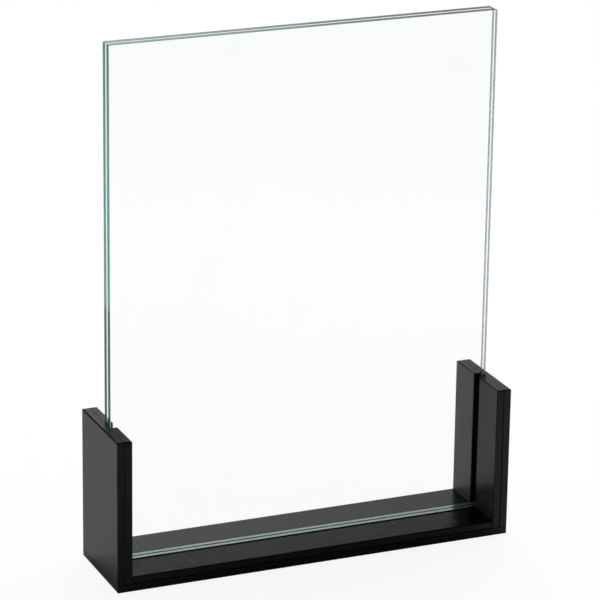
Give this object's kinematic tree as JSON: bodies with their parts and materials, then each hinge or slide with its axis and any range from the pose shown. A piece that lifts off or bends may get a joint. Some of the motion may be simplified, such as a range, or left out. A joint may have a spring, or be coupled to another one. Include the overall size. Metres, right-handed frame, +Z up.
{
  "type": "u-frame sign holder",
  "caption": "Tabletop sign holder: a black U-shaped stand whose uprights are grooved inside to hold clear glass panes upright, with room for a printed sign between them.",
  "frame": {"origin": "middle of the stand's underside, on the surface it rests on", "axes": "+X to the viewer's right along the width, +Y from the front to the back, +Z up along the panes"},
  "size_m": [0.225, 0.0542, 0.2884],
  "materials": {
    "black_board": "black acrylic sheet with a soft gloss and eased edges",
    "clear_pane": "clear polished glass with green edges"
  },
  "bodies": {
    "stand": {"bottom_board": "black_board", "base_front_strip": "black_board", "base_middle_strip": "black_board", "base_rear_strip": "black_board", "left_outer_board": "black_board", "left_front_strip": "black_board", "left_rear_strip": "black_board", "right_outer_board": "black_board", "right_front_strip": "black_board", "right_rear_strip": "black_board"},
    "front_pane": {"front_glass_pane": "clear_pane"},
    "rear_pane": {"rear_glass_pane": "clear_pane"}
  },
  "joints": [
    {"name": "front_pane_lift", "type": "slide", "parent": "stand", "child": "front_pane", "axis": [0, 0, 1], "range_m": [0, 0.08]},
    {"name": "rear_pane_lift", "type": "slide", "parent": "stand", "child": "rear_pane", "axis": [0, 0, 1], "range_m": [0, 0.08]}
  ]
}
